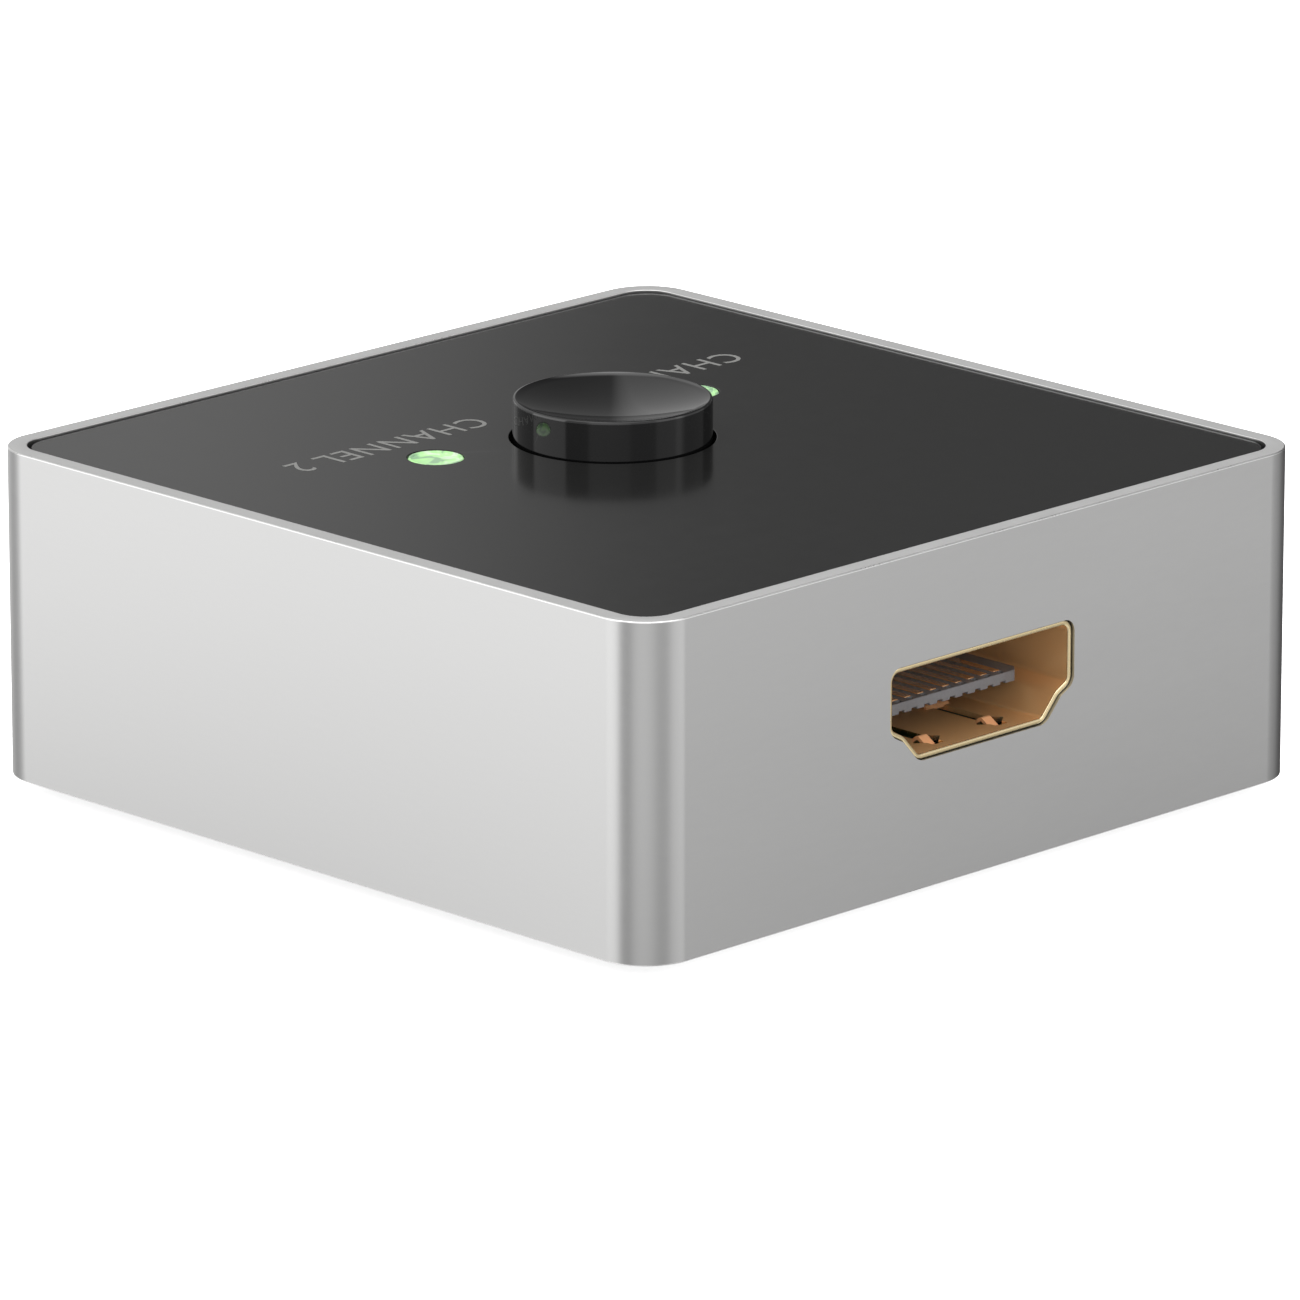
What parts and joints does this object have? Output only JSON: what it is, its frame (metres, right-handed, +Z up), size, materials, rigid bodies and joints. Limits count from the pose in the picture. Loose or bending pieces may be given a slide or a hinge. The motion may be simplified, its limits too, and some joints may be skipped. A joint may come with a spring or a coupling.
{
  "type": "video switch box",
  "caption": "Small square desktop box that joins HDMI sockets through a latching push button, with indicator lights beside it",
  "frame": {"origin": "middle of the box in plan, on the surface that its feet stand on", "axes": "+Z up; -Y towards the side from which the top reads upright, with the two input sockets; +Y towards the single output socket; +X to the right seen from the -Y side"},
  "size_m": [0.052, 0.052, 0.0222],
  "materials": {
    "satin_aluminium": "bead-blasted and clear anodised, satin",
    "black_gloss": "polished black sheet",
    "button_gloss": "polished black, dished top with a fine bright edge",
    "black_plastic": "finely textured moulding",
    "switch_plastic": "smooth moulding",
    "foot_rubber": "matte",
    "screw_steel": "nickel-plated",
    "board_green": "solder mask over woven glass",
    "gold_shell": "thin gold plate, satin",
    "socket_plastic": "glass-filled moulding",
    "contact_copper": "copper alloy, gold flash",
    "spring_steel": "bright",
    "green_lens": "clear pale green, faceted",
    "led_white": "moulded",
    "chip_black": "moulded",
    "ceramic_tan": "fired ceramic"
  },
  "bodies": {
    "housing": {"housing_sleeve": "satin_aluminium", "top_plate": "black_gloss", "top_cover": "black_plastic", "bottom_cover": "black_plastic", "case_screw_1": "screw_steel", "case_screw_2": "screw_steel", "case_screw_3": "screw_steel", "case_screw_4": "screw_steel", "rubber_foot_1": "foot_rubber", "rubber_foot_2": "foot_rubber", "rubber_foot_3": "foot_rubber", "rubber_foot_4": "foot_rubber", "circuit_board": "board_green", "output_socket_shell": "gold_shell", "output_socket_insulator": "socket_plastic", "output_upper_contacts": "contact_copper", "output_lower_contacts": "contact_copper", "input_1_socket_shell": "gold_shell", "input_1_socket_insulator": "socket_plastic", "input_1_upper_contacts": "contact_copper", "input_1_lower_contacts": "contact_copper", "input_2_socket_shell": "gold_shell", "input_2_socket_insulator": "socket_plastic", "input_2_upper_contacts": "contact_copper", "input_2_lower_contacts": "contact_copper", "latch_wire": "spring_steel", "switch_housing": "switch_plastic", "switch_lid": "spring_steel", "switch_pin_1": "contact_copper", "switch_pin_2": "contact_copper", "switch_pin_3": "contact_copper", "switch_pin_4": "contact_copper", "switch_pin_5": "contact_copper", "switch_pin_6": "contact_copper", "light_pipe_1": "green_lens", "light_pipe_2": "green_lens", "led_1": "led_white", "led_2": "led_white", "switch_chip": "chip_black", "voltage_regulator": "chip_black", "esd_array_1": "chip_black", "esd_array_2": "chip_black", "esd_array_3": "chip_black", "capacitor_1": "ceramic_tan", "capacitor_2": "ceramic_tan", "capacitor_3": "ceramic_tan", "capacitor_4": "ceramic_tan"},
    "button": {"button_cap": "button_gloss", "switch_plunger": "switch_plastic", "moving_contact_1": "contact_copper", "moving_contact_2": "contact_copper", "return_spring": "spring_steel"}
  },
  "joints": [
    {"name": "button_press", "type": "slide", "parent": "housing", "child": "button", "axis": [0, 0, -1], "range_m": [0, 0.002], "stiffness_N_per_m": 600, "springref_m": -0.002, "deforming": ["return_spring"]}
  ]
}
